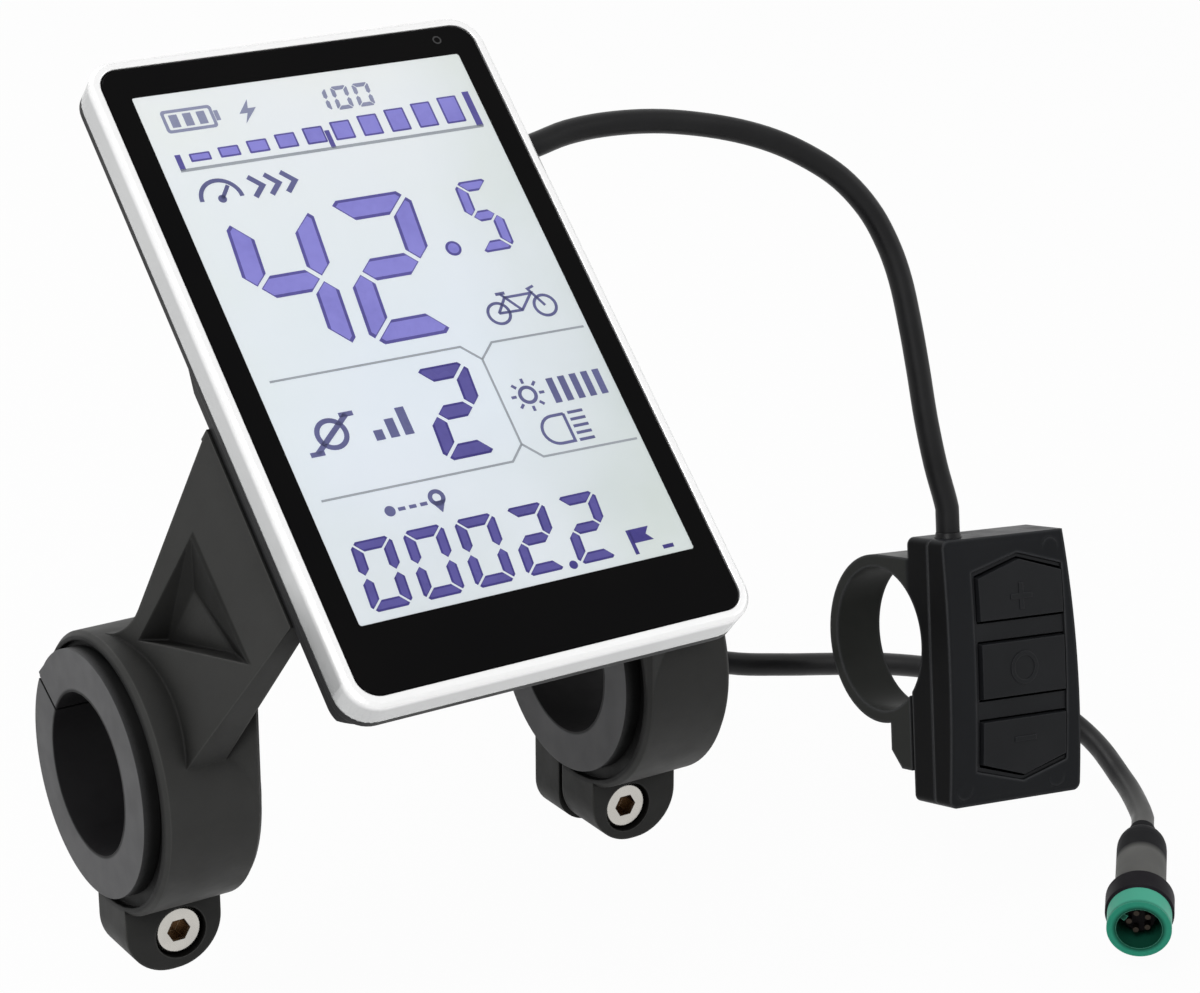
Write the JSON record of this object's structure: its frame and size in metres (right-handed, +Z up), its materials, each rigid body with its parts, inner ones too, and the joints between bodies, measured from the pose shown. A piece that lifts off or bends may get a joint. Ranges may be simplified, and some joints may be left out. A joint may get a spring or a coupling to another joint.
{
  "type": "e-bike display",
  "caption": "E-bike display with a tilted portrait screen on two handlebar clamp arms, a wired thumb switch pod and a round plug on its lead.",
  "frame": {"origin": "on the axis of the handlebar that the two clamps hold, midway between the clamps", "axes": "+X along the handlebar towards the switch pod, +Y forwards away from the rider, +Z up"},
  "size_m": [0.1839, 0.0752, 0.1416],
  "materials": {
    "glass": "polished",
    "bezel": "satin",
    "casing": "fine grain",
    "bracket": "fine grain",
    "rubber": "matt",
    "film": "clear",
    "display": "smooth",
    "white_plastic": "smooth",
    "flex": "smooth",
    "board": "lacquered",
    "chip": "matt",
    "can": "drawn",
    "steel": "turned",
    "pod": "satin",
    "key": "satin",
    "cable": "satin",
    "plug": "satin",
    "teal": "satin",
    "brass": "bright"
  },
  "bodies": {
    "bracket": {"front_glass": "glass", "glass_tape": "chip", "bezel": "bezel", "front_film": "film", "lcd_panel": "display", "light_guide": "film", "backlight_tray": "white_plastic", "lcd_flex": "flex", "rear_housing": "casing", "housing_seal": "rubber", "housing_screws": "steel", "main_board": "board", "board_screws": "steel", "processor": "chip", "capacitors": "can", "cable_headers": "white_plastic", "pod_cable_gland": "cable", "main_cable_gland": "cable", "left_arm": "bracket", "right_arm": "bracket", "arm_screws": "steel", "left_sleeve": "rubber", "right_sleeve": "rubber", "clamp_screws": "steel", "clamp_nuts": "steel", "pod_rear_case": "pod", "pod_front_cover": "pod", "keypad_web": "key", "switch_bodies": "can", "pod_board": "board", "pod_case_screws": "steel", "pod_clamp_screw": "steel", "pod_clamp_nut": "steel", "pod_grommet": "cable", "pod_cable": "cable", "main_cable": "cable", "connector_boot": "plug", "connector_collar": "plug", "connector_shroud": "teal", "connector_insert": "chip", "connector_pins": "brass"},
    "key_up_button": {"key_up": "key", "stem_up": "chip"},
    "key_mode_button": {"key_mode": "key", "stem_mode": "chip"},
    "key_down_button": {"key_down": "key", "stem_down": "chip"}
  },
  "joints": [
    {"name": "key_up_press", "type": "slide", "parent": "bracket", "child": "key_up_button", "axis": [0.0192, 0.9704, -0.2408], "range_m": [0, 0.0006], "stiffness_N_per_m": 2000, "springref_m": -0.00002},
    {"name": "key_mode_press", "type": "slide", "parent": "bracket", "child": "key_mode_button", "axis": [0.0192, 0.9704, -0.2408], "range_m": [0, 0.0006], "stiffness_N_per_m": 2000, "springref_m": -0.00002},
    {"name": "key_down_press", "type": "slide", "parent": "bracket", "child": "key_down_button", "axis": [0.0192, 0.9704, -0.2408], "range_m": [0, 0.0006], "stiffness_N_per_m": 2000, "springref_m": -0.00002}
  ]
}
